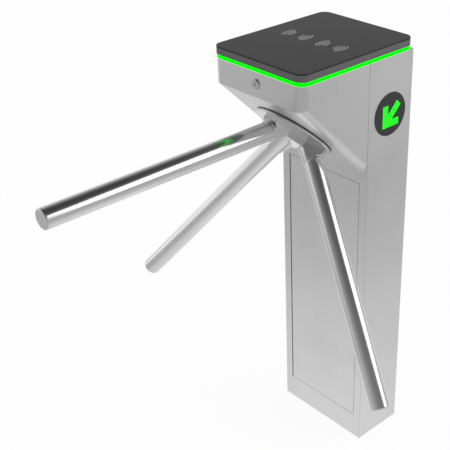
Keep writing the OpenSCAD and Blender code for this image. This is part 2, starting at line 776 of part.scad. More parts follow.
module damper_pinion() color("#c8a24a") on_face() translate([0, damper_y, 0]) {
    pinion_back = gear_z - gear_t - gear_extra;
    shaft_back = rear_plate_z - damper_bore;
    translate([0, 0, pinion_back]) linear_extrude(gear_t + 2 * gear_extra)
        rotate(90 + 180 / pinion_teeth) gear_shape(pinion_teeth);
    translate([0, 0, shaft_back]) cylinder(h = pinion_back - shaft_back + over, r = damper_shaft_r);
}

light_holes = 6;
light_hole_share = 0.66;
light_size_share = 0.14;
module shaft_ring(z, t) translate([0, 0, z - t]) linear_extrude(t) difference() {
    children();
    circle(shaft_r + fit_gap);
}

module damper_gear() color("#8e9297") on_face() shaft_ring(gear_z, gear_t) difference() {
    pitch_r = gear_module * gear_teeth / 2;
    rotate(90) gear_shape(gear_teeth);
    for (k = [0:light_holes - 1]) rotate(360 * k / light_holes)
        translate([pitch_r * light_hole_share, 0]) circle(pitch_r * light_size_share);
}

// Pieces on the shaft
module locking_disc() color("#6d7278") on_face() shaft_ring(lock_disc_z, lock_disc_t) difference() {
    circle(lock_disc_r);
    for (k = [0:index_count - 1], a = [notch_angle, 180 - notch_angle]) rotate(a + 360 * k / index_count)
        translate([lock_disc_r - notch_depth, -notch_w / 2]) square([notch_depth + over, notch_w]);
}

module detent_cam() color("#6d7278") on_face() shaft_ring(cam_z, cam_t) difference() {
    circle(cam_r);
    for (k = [0:index_count - 1]) rotate(90 + 360 * k / index_count)
        translate([cam_r - hollow_depth + hollow_r, 0]) circle(hollow_r);
}

spacer_out = 5;
module shaft_sleeve(z0, z1) shaft_ring(z0, z0 - z1) circle(shaft_r + spacer_out);
module shaft_spacers() color("#b3b6ba") on_face() {
    shaft_sleeve(bearing_front_z - bearing_w, lock_disc_z);
    shaft_sleeve(lock_disc_z - lock_disc_t, cam_z);
    shaft_sleeve(cam_z - cam_t, gear_z);
    shaft_sleeve(gear_z - gear_t, rear_bearing_z);
}

nut_t = 8;
nut_r = 22;
nut_slot = 5;
module shaft_nut() color("#9da1a6") on_face() shaft_ring(rear_bearing_z - bearing_w, nut_t) difference() {
    circle(nut_r);
    for (k = [0:3]) rotate(90 * k) translate([nut_r - nut_slot / 2, -nut_slot / 2])
        square([nut_slot, nut_slot]);
}

shaft_end = 2;
encoder_r = 33;
encoder_t = 1.5;
encoder_boss_r = 12;
encoder_boss_t = 5;
encoder_z = rear_bearing_z - bearing_w - nut_t - shaft_end;
window_w = 10;
module encoder_disc() color("#202224") on_face() {
    translate([0, 0, encoder_z - encoder_t]) linear_extrude(encoder_t) difference() {
        circle(encoder_r);
        for (k = [0:2]) rotate(120 * k) translate([encoder_r - window_w, -window_w / 2])
            square([window_w / 2, window_w]);
    }
    translate([0, 0, encoder_z - encoder_t - encoder_boss_t])
        cylinder(h = encoder_boss_t, r = encoder_boss_r);
}

sensor_w = 14;
sensor_in = 6;
sensor_out = 12;
sensor_gap = 1.2;
sensor_arm = 4;
module position_sensor() color("#1b1d20") on_face() {
    seat = rear_plate_z - plate_t - rear_flange_t;
    low = encoder_z - encoder_t - sensor_gap - sensor_arm;
    difference() {
        translate([-sensor_w / 2, encoder_r - sensor_in, low])
            cube([sensor_w, sensor_in + sensor_out, seat - low]);
        translate([-sensor_w, encoder_r - 2 * sensor_in, encoder_z - encoder_t - sensor_gap])
            cube([2 * sensor_w, 2 * sensor_in + seat_gap + over, encoder_t + 2 * sensor_gap]);
    }
}

flange_r = 31;
collar_r = 18;
spigot_r = 20;
disc_top = disc_gap + disc_t;
flange_screw_at = 25.5;
flange_screw_r = 3;
flange_head_r = 5;
flange_head_t = 5;
flange_screw_in = 12;

module at_flange_screws() for (k = [0:2]) rotate(30 + 120 * k) translate([flange_screw_at, 0, 0]) children();

module main_shaft() color("#c6c9cc") on_face() difference() {
    rotate_extrude() polygon([
        [0, disc_top], [spigot_r, disc_top], [spigot_r, disc_gap], [flange_r, disc_gap],
        [flange_r, flange_z], [collar_r, flange_z], [collar_r, bearing_front_z],
        [shaft_r, bearing_front_z], [shaft_r, encoder_z], [0, encoder_z],
    ]);
    at_flange_screws() translate([0, 0, flange_z - over])
        cylinder(h = disc_gap - flange_z + 2 * over, r = flange_screw_r + fit_gap);
}

module flange_screws() at_flange_screws() {
    translate([0, 0, flange_z]) cylinder(h = disc_top - flange_z + flange_screw_in, r = flange_screw_r);
    translate([0, 0, flange_z - flange_head_t]) cylinder(h = flange_head_t, r = flange_head_r);
}

disc_edge = 1;
module rotor_disc() color("#c8c8c8") on_face() difference() {
    bore_r = spigot_r + fit_gap;
    rotate_extrude() polygon([[bore_r, disc_gap], [disc_r, disc_gap], [disc_r, disc_top - disc_edge],
        [disc_r - disc_edge, disc_top], [bore_r, disc_top]]);
    at_flange_screws() translate([0, 0, -over]) cylinder(h = 2 * disc_top, r = flange_screw_r + fit_gap);
}

// Hub: a low body and three lugs, each cut square across its arm and flat along it,
// with a round sleeve where the tube comes out
web_x = web_wall_r * sin(60) - web_wall_half * cos(60);
web_y = web_wall_r * cos(60) + web_wall_half * sin(60);
body_top = disc_top + hub_h;
sleeve_start = 50;
sleeve_edge = 0.8;
pocket_start = 30;
arm_head_r = 8;
arm_head_t = 6;
pocket_gap = 1.5;
arm_web = 10;
arm_screw_r = 5;
arm_screw_in = 18;

module hub_outline() polygon([for (k = [0:2], p = [[web_x, web_y], [arm_wall_half, arm_wall_r],
    [-arm_wall_half, arm_wall_r], [-web_x, web_y]])
    [p[0] * cos(120 * k) - p[1] * sin(120 * k), p[0] * sin(120 * k) + p[1] * cos(120 * k)]]);

module before_lug_end(k) on_arm(k)
    translate([-arm_reach, -arm_reach, lug_end - arm_reach]) cube([2 * arm_reach, 2 * arm_reach, arm_reach]);

module lug(k) intersection() {
    on_face() translate([0, 0, disc_top]) linear_extrude(arm_reach) hub_outline();
    on_arm(k) translate([-arm_reach, -lug_rise, 0]) cube([2 * arm_reach, arm_reach, lug_end]);
}

module sleeve(k) intersection() {
    on_face() translate([-arm_reach, -arm_reach, disc_top]) cube([2 * arm_reach, 2 * arm_reach, arm_reach]);
    on_arm(k) translate([0, 0, sleeve_start]) rotate_extrude() polygon([
        [0, 0], [sleeve_r, 0], [sleeve_r, sleeve_end - sleeve_start - sleeve_edge],
        [sleeve_r - sleeve_edge, sleeve_end - sleeve_start], [0, sleeve_end - sleeve_start],
    ]);
}

module hub() color("#bdbdbd") difference() {
    union() {
        intersection() {
            on_face() translate([0, 0, disc_top]) linear_extrude(hub_h) hub_outline();
            before_lug_end(0);
            before_lug_end(1);
            before_lug_end(-1);
        }
        for (k = [-1:1]) {
            lug(k);
            sleeve(k);
        }
    }
    for (k = [-1:1]) on_arm(k) {
        translate([0, 0, arm_seat]) cylinder(h = arm_reach, r = arm_r + fit_gap);
        translate([0, 0, arm_seat - arm_web - over])
            cylinder(h = arm_web + 2 * over, r = arm_screw_r + fit_gap);
        translate([0, 0, pocket_start])
            cylinder(h = arm_seat - arm_web - pocket_start, r = arm_head_r + pocket_gap);
    }
    on_face() at_flange_screws() translate([0, 0, disc_top - over])
        cylinder(h = flange_screw_in + over + seat_gap, r = flange_screw_r + fit_gap);
}

// Arms: tubes with rounded end caps, and threaded plugs that the screws pull into the hub
cap_t = 6;
cap_round = 3.5;
cap_spigot = 14;
plug_len = 26;

module arm_tube(k) color("#c8c8c8") on_arm(k) difference() {
    translate([0, 0, arm_seat]) cylinder(h = arm_reach - arm_seat - cap_t, r = arm_r);
    translate([0, 0, arm_seat - over]) cylinder(h = arm_reach, r = arm_r - arm_wall);
}

module arm_tube_front() arm_tube(0);
module arm_tube_right() arm_tube(1);
module arm_tube_left() arm_tube(-1);

module arm_end_caps() color("#cfcfcf") for (k = [0:2]) on_arm(k) translate([0, 0, arm_reach - cap_t]) {
    flat = cap_t - cap_round;
    rotate_extrude() {
        square([arm_r, flat]);
        translate([0, flat]) square([arm_r - cap_round, cap_round]);
        intersection() {
            translate([arm_r - cap_round, flat]) circle(cap_round);
            translate([0, flat]) square([arm_r, cap_round]);
        }
        translate([0, -cap_spigot]) square([arm_r - arm_wall - fit_gap, cap_spigot]);
    }
}

module arm_plugs() color("#9a9da1") for (k = [0:2]) on_arm(k) translate([0, 0, arm_seat]) difference() {
    cylinder(h = plug_len, r = arm_r - arm_wall - fit_gap);
    translate([0, 0, -over]) cylinder(h = plug_len + 2 * over, r = arm_screw_r + fit_gap);
}

module arm_screws() color("#7f8388") {
    for (k = [0:2]) on_arm(k) {
        translate([0, 0, arm_seat - arm_web]) cylinder(h = arm_web + arm_screw_in, r = arm_screw_r);
        translate([0, 0, arm_seat - arm_web - arm_head_t]) cylinder(h = arm_head_t, r = arm_head_r);
    }
    on_face() flange_screws();
}

// Door of the post with its pivot pins and magnet
door_low = plinth_h + door_gap;
door_high = neck_z - upper_h - door_gap;
door_x = door_half - door_gap;
door_fold = fold_d - sheet;
pin_in = 12;
module door_panel() color("#b2b2b2") difference() {
    union() {
        translate([0, 0, door_low]) linear_extrude(door_high - door_low) {
            translate([-door_x + door_edge_r, post_front]) square([2 * door_x - door_edge_r, sheet]);
            translate([-door_x, post_front + door_edge_r]) square([sheet, door_fold - door_edge_r]);
            translate([door_x - sheet, post_front]) square([sheet, door_fold]);
            translate([-door_x + door_edge_r, post_front + door_edge_r]) circle(door_edge_r);
        }
        for (z = [door_low, door_high - sheet]) translate([-door_x + 2 * door_edge_r, post_front, z])
            cube([2 * door_x - 2 * door_edge_r, door_fold, sheet]);
    }
    at_door_edge([door_low - over, door_high - pin_in])
        cylinder(h = pin_in + over, r = door_pin_r + fit_gap);
}

module at_door_edge(levels) for (z = levels)
    translate([-door_x + door_edge_r, post_front + door_edge_r, z]) children();

module door_pins() color("#c0c0c0")
    at_door_edge([door_low - door_gap - sheet, door_high - pin_in + seat_gap])
        cylinder(h = pin_in - seat_gap + door_gap + sheet, r = door_pin_r);

magnet_w = 14;
magnet_h = 50;
magnet_d = 12;
module door_magnet() color("#2a2c2e") {
    middle = (door_low + door_high) / 2;
    translate([door_half - magnet_w, post_front + door_fold + seat_gap, middle - magnet_h / 2])
        cube([magnet_w, magnet_d, magnet_h]);
}

// Equipment on the back wall of the post
wall_y = post_back - sheet;
board_w = 150;
board_h = 180;
board_z = 520;
board_t = 1.6;
board_stand = 10;
board_stand_r = 4;
chip_h = 12;
module control_board() color("#2e6b41") {
    board_y = wall_y - board_stand - board_t;
    stand_x = board_w / 2 - 2 * board_stand_r;
    stand_z = board_h / 2 - 2 * board_stand_r;
    translate([-board_w / 2, board_y, board_z]) cube([board_w, board_t, board_h]);
    for (x = [-1, 1], z = [-1, 1]) translate([x * stand_x, wall_y, board_z + board_h / 2 + z * stand_z])
        rotate([90, 0, 0]) cylinder(h = board_stand, r = board_stand_r);
    for (x = [-1, 0, 1], z = [0, 1])
        translate([x * board_w / 4 - chip_h, board_y - chip_h, board_z + board_h / 4 + z * board_h / 3])
            cube([2 * chip_h, chip_h, 2 * chip_h]);
}

supply_w = 110;
supply_h = 160;
supply_d = 42;
supply_z = 150;
module power_supply() color("#a7abaf")
    translate([-supply_w / 2, wall_y - supply_d, supply_z]) cube([supply_w, supply_d, supply_h]);

core_w = 150;
core_h = 90;
core_d = 60;
bobbin_t = 10;
module transformer() color("#55504a") {
    translate([-core_w / 2, wall_y - core_d, base_t]) cube([core_w, core_d, core_h]);
    translate([-core_w / 4, wall_y - core_d - bobbin_t, base_t + bobbin_t])
        cube([core_w / 2, bobbin_t + over, core_h - 2 * bobbin_t]);
}

terminal_w = 140;
terminal_h = 34;
terminal_d = 30;
terminal_z = 420;
terminal_n = 14;
terminal_slit = 1;
module terminal_block() color("#8b9a86") difference() {
    pitch = terminal_w / terminal_n;
    front_y = wall_y - terminal_d;
    translate([-terminal_w / 2, front_y, terminal_z]) cube([terminal_w, terminal_d, terminal_h]);
    for (i = [1:terminal_n - 1])
        translate([i * pitch - (terminal_w + terminal_slit) / 2, front_y - over, terminal_z - over])
            cube([terminal_slit, terminal_d / 3, terminal_h + 2 * over]);
}

// Lid
pan_wall = 2;
pan_top = 2;
glass_z = total_h - glass_t;
pin_reach = 10;
lid_half = half_w + lid_proud;
lid_front = head_front - lid_proud;
lid_back = post_back + lid_proud;
lid_r = head_corner_r + lid_proud;
module lid_outline(inset)
    round_rect(lid_half - inset, lid_front + inset, lid_back - inset, lid_r - inset, lid_r - inset);

module lid_pan() color("#585858") difference() {
    union() {
        difference() {
            translate([0, 0, lid_z]) linear_extrude(glass_z - lid_z) lid_outline(0);
            translate([0, 0, lid_z - over]) linear_extrude(glass_z - pan_top - lid_z + over)
                round_rect(half_w - pan_wall, head_front + pan_wall, hinge_y - lid_barrel_r - pan_wall,
                    head_corner_r - pan_wall, head_corner_r - pan_wall);
        }
        translate([0, hinge_y, hinge_z]) rotate([0, 90, 0])
            cylinder(h = 2 * (half_w - head_corner_r), r = lid_barrel_r, center = true);
    }
    bracket_notches(notch_gap);
    at_brackets() cylinder(h = bracket_t + 2 * pin_reach, r = lid_pin_r + fit_gap, center = true);
}

// The glass: its edge upright, then bevelled along four sides and round four corners
module lid_glass() color("#434343") translate([0, 0, glass_z]) {
    edge_h = glass_t - glass_bevel;
    linear_extrude(edge_h) lid_outline(0);
    translate([0, 0, edge_h]) {
        linear_extrude(glass_bevel) lid_outline(glass_bevel);
        for (x = [-1, 1], y = [lid_front + lid_r, lid_back - lid_r])
            translate([x * (lid_half - lid_r), y, 0])
                cylinder(h = glass_bevel, r1 = lid_r, r2 = lid_r - glass_bevel);
        translate([0, lid_back - lid_r, 0]) rotate([90, 0, 0])
            linear_extrude(lid_back - lid_front - 2 * lid_r)
                translate([-lid_half, 0]) bevelled(2 * lid_half);
        translate([lid_r - lid_half, lid_front, 0]) rotate([90, 0, 90])
            linear_extrude(2 * lid_half - 2 * lid_r) bevelled(lid_back - lid_front);
    }
}

// Section of the glass above its upright edge
module bevelled(w) polygon([[0, 0], [w, 0], [w - glass_bevel, glass_bevel], [glass_bevel, glass_bevel]]);

reader_x = 49.5;
reader_y = (head_front + post_back) / 2;
reader_w = 62;
reader_d = 82;
reader_t = 9;
module card_readers() color("#1f2224") for (s = [-1, 1])
    translate([s * reader_x - reader_w / 2, reader_y - reader_d / 2, glass_z - pan_top - reader_t])
        cube([reader_w, reader_d, reader_t]);

catch_x = 12;
catch_w = 18;
catch_t = 2.5;
catch_gap = 0.6;
key_gap = 1;
catch_lap = lock_cam_t + key_w + key_gap;
catch_back = head_front + lock_len + 2 * seat_gap + catch_lap;
catch_low = lock_z - cam_half_w - catch_gap;
module lid_catch() color("#8d9095") {
    translate([catch_x, catch_back, catch_low - catch_t])
        cube([catch_w, catch_t, glass_z - pan_top - catch_low + catch_t]);
    translate([catch_x, catch_back - catch_lap, catch_low - catch_t])
        cube([catch_w, catch_t + catch_lap, catch_t]);
}

module lid_hinge_pins() color("#c0c0c0")
    at_brackets() cylinder(h = bracket_t + 2 * pin_reach - 2 * seat_gap, r = lid_pin_r, center = true);

base_plate();
cable_grommet();
post_shell();
head_shell();
plinth_panel();
upper_panel();
top_frame();
lid_hinge_brackets();
light_strip();
lock_barrel();
lock_nut();
indicator_lenses();
indicator_arrows();
indicator_housings();
front_plate();
rear_plate();
plate_pillars();
bearing_housings();
ball_bearings();
pawl_pins();
solenoids();
detent_posts();
detent_spring();
damper_body();
position_sensor();
control_board();
power_supply();
transformer();
terminal_block();
door_magnet();
lid_pan();
lid_glass();
card_readers();
lid_catch();
lid_hinge_pins();
lock_plug();
door_panel();
door_pins();
rotor_disc();
hub();
arm_tube_front();
arm_tube_right();
arm_tube_left();
arm_end_caps();
arm_plugs();
arm_screws();
main_shaft();
shaft_spacers();
locking_disc();
detent_cam();
damper_gear();
shaft_nut();
encoder_disc();
right_pawl();
left_pawl();
right_plunger();
left_plunger();
detent_lever();
detent_roller();
damper_pinion();
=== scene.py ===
import bpy
import json
import math
from mathutils import Matrix, Vector

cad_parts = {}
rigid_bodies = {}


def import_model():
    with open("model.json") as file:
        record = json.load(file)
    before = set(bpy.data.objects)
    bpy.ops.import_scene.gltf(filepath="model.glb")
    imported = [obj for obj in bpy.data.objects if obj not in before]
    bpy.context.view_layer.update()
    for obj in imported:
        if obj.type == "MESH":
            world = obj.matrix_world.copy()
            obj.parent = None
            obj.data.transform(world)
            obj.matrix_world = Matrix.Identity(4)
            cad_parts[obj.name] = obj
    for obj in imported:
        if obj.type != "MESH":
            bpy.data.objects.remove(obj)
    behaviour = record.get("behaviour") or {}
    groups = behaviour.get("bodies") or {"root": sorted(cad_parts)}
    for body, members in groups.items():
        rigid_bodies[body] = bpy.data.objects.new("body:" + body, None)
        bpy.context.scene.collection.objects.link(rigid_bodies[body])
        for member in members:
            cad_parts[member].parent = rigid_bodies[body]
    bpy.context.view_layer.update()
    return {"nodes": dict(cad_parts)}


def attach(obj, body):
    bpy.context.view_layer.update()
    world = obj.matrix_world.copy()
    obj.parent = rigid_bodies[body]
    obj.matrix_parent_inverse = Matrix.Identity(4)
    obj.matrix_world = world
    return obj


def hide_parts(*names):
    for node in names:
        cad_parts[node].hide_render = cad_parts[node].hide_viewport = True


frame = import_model()
mm = 0.001
lowIn, highIn, mixedOut = 6, 7, 2  # the colour sockets of a Mix node


# Colour and node helpers
def linearColour(hexCode):
    channels = [int(hexCode[i:i + 2], 16) / 255 for i in (0, 2, 4)]
    lin = [c / 12.92 if c <= 0.04045 else ((c + 0.055) / 1.055) ** 2.4 for c in channels]
    return (*lin, 1.0)


def linkInto(tree, node, links):
    for socket, source in links.items():
        tree.links.new(source, node.inputs[socket])


def addNode(tree, kind, settings=None, links=None):
    node = tree.nodes.new(kind)
    for key, value in (settings or {}).items():
        if isinstance(key, int) or key in node.inputs:
            node.inputs[key].default_value = value
        else:
            setattr(node, key, value)
    linkInto(tree, node, links or {})
    return node


def startFinish(name, shaderSettings):
    finish = bpy.data.materials.new(name)
    finish.use_nodes = True
    tree = finish.node_tree
    tree.nodes.clear()
    shader = addNode(tree, "ShaderNodeBsdfPrincipled", shaderSettings)
    addNode(tree, "ShaderNodeOutputMaterial", links={"Surface": shader.outputs["BSDF"]})
    coords = addNode(tree, "ShaderNodeTexCoord").outputs["Object"]
    return finish, tree, shader, coords


def twoTones(look):
    # what a Mix node is set to, so that it goes from a finish's low colour to its high one
    return {"data_type": "RGBA",
            lowIn: linearColour(look["low"]), highIn: linearColour(look["high"])}


def brushedSheet(name, look):
    # satin sheet: scratches of the brush along one axis, over the cloudy tone that rolling leaves
    finish, tree, shader, coords = startFinish(name, {"Metallic": 1.0})
    spacing = [look["linePitch"]] * 3
    spacing[look["along"]] = look["lineLength"]
    placed = addNode(tree, "ShaderNodeMapping", {"Scale": [1 / s for s in spacing]},
                     {"Vector": coords})
    lines = addNode(tree, "ShaderNodeTexNoise", {"Scale": 1.0, "Detail": look["lineDetail"]},
                    {"Vector": placed.outputs[0]})
    clouds = addNode(tree, "ShaderNodeTexNoise",
                     {"Scale": 1 / look["cloud"], "Detail": look["cloudDetail"]},
                     {"Vector": coords})
    both = addNode(tree, "ShaderNodeMath", {"operation": "MULTIPLY_ADD", 1: look["lineShare"]},
                   {0: lines.outputs["Fac"], 2: clouds.outputs["Fac"]})
    tone = addNode(tree, "ShaderNodeMapRange",
                   {"From Min": look["toneSpan"][0], "From Max": look["toneSpan"][1]},
                   {"Value": both.outputs[0]})
    colour = addNode(tree, "ShaderNodeMix", twoTones(look), {0: tone.outputs["Result"]})
    rough = addNode(tree, "ShaderNodeMapRange",
                    {"To Min": look["rough"] - look["smoother"],
                     "To Max": look["rough"] + look["rougher"]},
                    {"Value": lines.outputs["Fac"]})
    bump = addNode(tree, "ShaderNodeBump", {"Strength": 1.0, "Distance": look["depth"]},
                   {"Height": lines.outputs["Fac"]})
    # butt joint between the head's side and the post's: a fine dark line on the two side faces
    place = addNode(tree, "ShaderNodeSeparateXYZ", links={"Vector": coords})
    side = addNode(tree, "ShaderNodeMath", {"operation": "ABSOLUTE"}, {0: place.outputs["X"]})
    onSide = addNode(tree, "ShaderNodeMath", {"operation": "GREATER_THAN", 1: look["sideX"]},
                     {0: side.outputs[0]})
    onSeam = addNode(tree, "ShaderNodeMath",
                     {"operation": "COMPARE", 1: look["seamY"], 2: look["seamWidth"] / 2},
                     {0: place.outputs["Y"]})
    seam = addNode(tree, "ShaderNodeMath", {"operation": "MULTIPLY"},
                   {0: onSide.outputs[0], 1: onSeam.outputs[0]})
    seamed = addNode(tree, "ShaderNodeMix",
                     {"data_type": "RGBA", highIn: linearColour(look["seam"])},
                     {0: seam.outputs[0], lowIn: colour.outputs[mixedOut]})
    linkInto(tree, shader, {"Base Color": seamed.outputs[mixedOut],
                            "Roughness": rough.outputs["Result"],
                            "Normal": bump.outputs["Normal"]})
    return finish


polish = {"detail": 4.0, "smoothest": 0.6, "roughest": 1.5}  # the last two are shares of rough


def polishedMetal(name, look):
    # buffed metal: soft wiping smears that only the reflections show
    finish, tree, shader, coords = startFinish(name, {"Metallic": 1.0})
    smears = addNode(tree, "ShaderNodeTexNoise",
                     {"Scale": 1 / look["smear"], "Detail": polish["detail"]}, {"Vector": coords})
    colour = addNode(tree, "ShaderNodeMix", twoTones(look), {0: smears.outputs["Fac"]})
    rough = addNode(tree, "ShaderNodeMapRange",
                    {"To Min": look["rough"] * polish["smoothest"],
                     "To Max": look["rough"] * polish["roughest"]},
                    {"Value": smears.outputs["Fac"]})
    linkInto(tree, shader, {"Base Color": colour.outputs[mixedOut],
                            "Roughness": rough.outputs["Result"]})
    return finish


machining = {"detail": 3.0, "stretch": 0.2, "depth": 0.02 * mm, "oxide": 20 * mm,
             "smoother": 0.06, "rougher": 0.08}


def machinedMetal(name, look):
    # turned, milled or zinc-plated part: fine tool marks and a slightly uneven skin of oxide
    finish, tree, shader, coords = startFinish(name, {"Metallic": 1.0})
    across = 1 / look["mark"]
    placed = addNode(tree, "ShaderNodeMapping",
                     {"Scale": (machining["stretch"] / look["mark"], across, across)},
                     {"Vector": coords})
    marks = addNode(tree, "ShaderNodeTexNoise", {"Scale": 1.0, "Detail": machining["detail"]},
                    {"Vector": placed.outputs[0]})
    skin = addNode(tree, "ShaderNodeTexNoise",
                   {"Scale": 1 / machining["oxide"], "Detail": machining["detail"]},
                   {"Vector": coords})
    colour = addNode(tree, "ShaderNodeMix", twoTones(look), {0: skin.outputs["Fac"]})
    rough = addNode(tree, "ShaderNodeMapRange",
                    {"To Min": look["rough"] - machining["smoother"],
                     "To Max": look["rough"] + machining["rougher"]},
                    {"Value": marks.outputs["Fac"]})
    bump = addNode(tree, "ShaderNodeBump", {"Strength": 1.0, "Distance": machining["depth"]},
                   {"Height": marks.outputs["Fac"]})
    linkInto(tree, shader, {"Base Color": colour.outputs[mixedOut],
                            "Roughness": rough.outputs["Result"],
                            "Normal": bump.outputs["Normal"]})
    return finish


skinning = {"detail": 2.0, "fade": 45 * mm, "roughSwing": 0.05}


def skinnedSurface(name, look):
    # powder coat, plastic, rubber or lacquer: an even colour, a fine skin and slight fading
    finish, tree, shader, coords = startFinish(name, {"Specular IOR Level": look["gloss"]})
    skin = addNode(tree, "ShaderNodeTexNoise",
                   {"Scale": 1 / look["grain"], "Detail": skinning["detail"]}, {"Vector": coords})
    fade = addNode(tree, "ShaderNodeTexNoise",
                   {"Scale": 1 / skinning["fade"], "Detail": skinning["detail"]},
                   {"Vector": coords})
    colour = addNode(tree, "ShaderNodeMix", twoTones(look), {0: fade.outputs["Fac"]})
    rough = addNode(tree, "ShaderNodeMapRange",
                    {"To Min": look["rough"] - skinning["roughSwing"],
                     "To Max": look["rough"] + skinning["roughSwing"]},
                    {"Value": skin.outputs["Fac"]})
    bump = addNode(tree, "ShaderNodeBump", {"Strength": 1.0, "Distance": look["depth"]},
                   {"Height": skin.outputs["Fac"]})
    linkInto(tree, shader, {"Base Color": colour.outputs[mixedOut],
                            "Roughness": rough.outputs["Result"],
                            "Normal": bump.outputs["Normal"]})
    return finish


opal = {"rough": 0.6, "specular": 0.02, "detail": 1.0}


def litDiffuser(name, look):
    # opal plastic lit from behind: nearly even green light, a little paler over each diode
    finish, tree, shader, coords = startFinish(name, {
        "Roughness": opal["rough"], "Specular IOR Level": opal["specular"],
        "Emission Strength": look["strength"]})
    pools = addNode(tree, "ShaderNodeTexNoise",
                    {"Scale": 1 / look["diodePitch"], "Detail": opal["detail"]},
                    {"Vector": coords})
    colour = addNode(tree, "ShaderNodeMix", twoTones(look), {0: pools.outputs["Fac"]})
    linkInto(tree, shader, {"Base Color": colour.outputs[mixedOut],
                            "Emission Color": colour.outputs[mixedOut]})
    return finish


def printedGlass(name, look):
    # tempered glass, painted dark behind and etched matt in front, with two reader signs on top
    finish, tree, shader, coords = startFinish(name, {"Specular IOR Level": look["gloss"]})
    skin = addNode(tree, "ShaderNodeTexNoise",
                   {"Scale": 1 / look["grain"], "Detail": look["detail"]}, {"Vector": coords})
    fade = addNode(tree, "ShaderNodeTexNoise",
                   {"Scale": 1 / look["fade"], "Detail": look["detail"]}, {"Vector": coords})
    glass = addNode(tree, "ShaderNodeMix", twoTones(look), {0: fade.outputs["Fac"]})
    # distance from the nearer sign's middle, of which there is one at each side
    place = addNode(tree, "ShaderNodeSeparateXYZ", links={"Vector": coords})
    mirrored = addNode(tree, "ShaderNodeMath", {"operation": "ABSOLUTE"}, {0: place.outputs["X"]})
    across = addNode(tree, "ShaderNodeMath", {"operation": "SUBTRACT", 1: look["symbolX"]},
                     {0: mirrored.outputs[0]})
    along = addNode(tree, "ShaderNodeMath", {"operation": "SUBTRACT", 1: look["symbolY"]},
                    {0: place.outputs["Y"]})
    flat = addNode(tree, "ShaderNodeCombineXYZ",
                   links={"X": across.outputs[0], "Y": along.outputs[0]})
    radius = addNode(tree, "ShaderNodeVectorMath", {"operation": "LENGTH"},
                     {0: flat.outputs[0]}).outputs["Value"]
    # arcs: within half a line of each multiple of the pitch, between the first and the last
    # radius, and no further than halfAngle from the X axis
    cycle = addNode(tree, "ShaderNodeMath", {"operation": "PINGPONG", 1: look["arcPitch"] / 2},
                    {0: radius})
    onLine = addNode(tree, "ShaderNodeMath", {"operation": "LESS_THAN", 1: look["arcLine"] / 2},
                     {0: cycle.outputs[0]})
    beyond = addNode(tree, "ShaderNodeMath", {"operation": "GREATER_THAN", 1: look["arcFirst"]},
                     {0: radius})
    within = addNode(tree, "ShaderNodeMath", {"operation": "LESS_THAN", 1: look["arcLast"]},
                     {0: radius})
    sideways = addNode(tree, "ShaderNodeMath", {"operation": "ABSOLUTE"}, {0: along.outputs[0]})
    slope = math.sin(math.radians(look["halfAngle"]))
    reach = addNode(tree, "ShaderNodeMath", {"operation": "MULTIPLY", 1: slope}, {0: radius})
    wedge = addNode(tree, "ShaderNodeMath", {"operation": "LESS_THAN"},
                    {0: sideways.outputs[0], 1: reach.outputs[0]})
    onTop = addNode(tree, "ShaderNodeMath", {"operation": "GREATER_THAN", 1: look["topZ"]},
                    {0: place.outputs["Z"]}).outputs[0]
    mask = onTop
    for part in (onLine, beyond, within, wedge):
        mask = addNode(tree, "ShaderNodeMath", {"operation": "MULTIPLY"},
                       {0: mask, 1: part.outputs[0]}).outputs[0]
    inked = addNode(tree, "ShaderNodeMix", {"data_type": "RGBA", highIn: linearColour(look["ink"])},
                    {0: mask, lowIn: glass.outputs[mixedOut]})
    # the black window in the middle of each sign
    dot = addNode(tree, "ShaderNodeMath", {"operation": "LESS_THAN", 1: look["windowRadius"]},
                  {0: radius})
    dotTop = addNode(tree, "ShaderNodeMath", {"operation": "MULTIPLY"},
                     {0: dot.outputs[0], 1: onTop})
    colour = addNode(tree, "ShaderNodeMix",
                     {"data_type": "RGBA", highIn: linearColour(look["window"])},
                     {0: dotTop.outputs[0], lowIn: inked.outputs[mixedOut]})
    rough = addNode(tree, "ShaderNodeMapRange",
                    {"To Min": look["rough"] - look["roughSwing"],
                     "To Max": look["rough"] + look["roughSwing"]},
                    {"Value": skin.outputs["Fac"]})
    bump = addNode(tree, "ShaderNodeBump", {"Strength": 1.0, "Distance": look["depth"]},
                   {"Height": skin.outputs["Fac"]})
    linkInto(tree, shader, {"Base Color": colour.outputs[mixedOut],
                            "Roughness": rough.outputs["Result"],
                            "Normal": bump.outputs["Normal"]})
    return finish


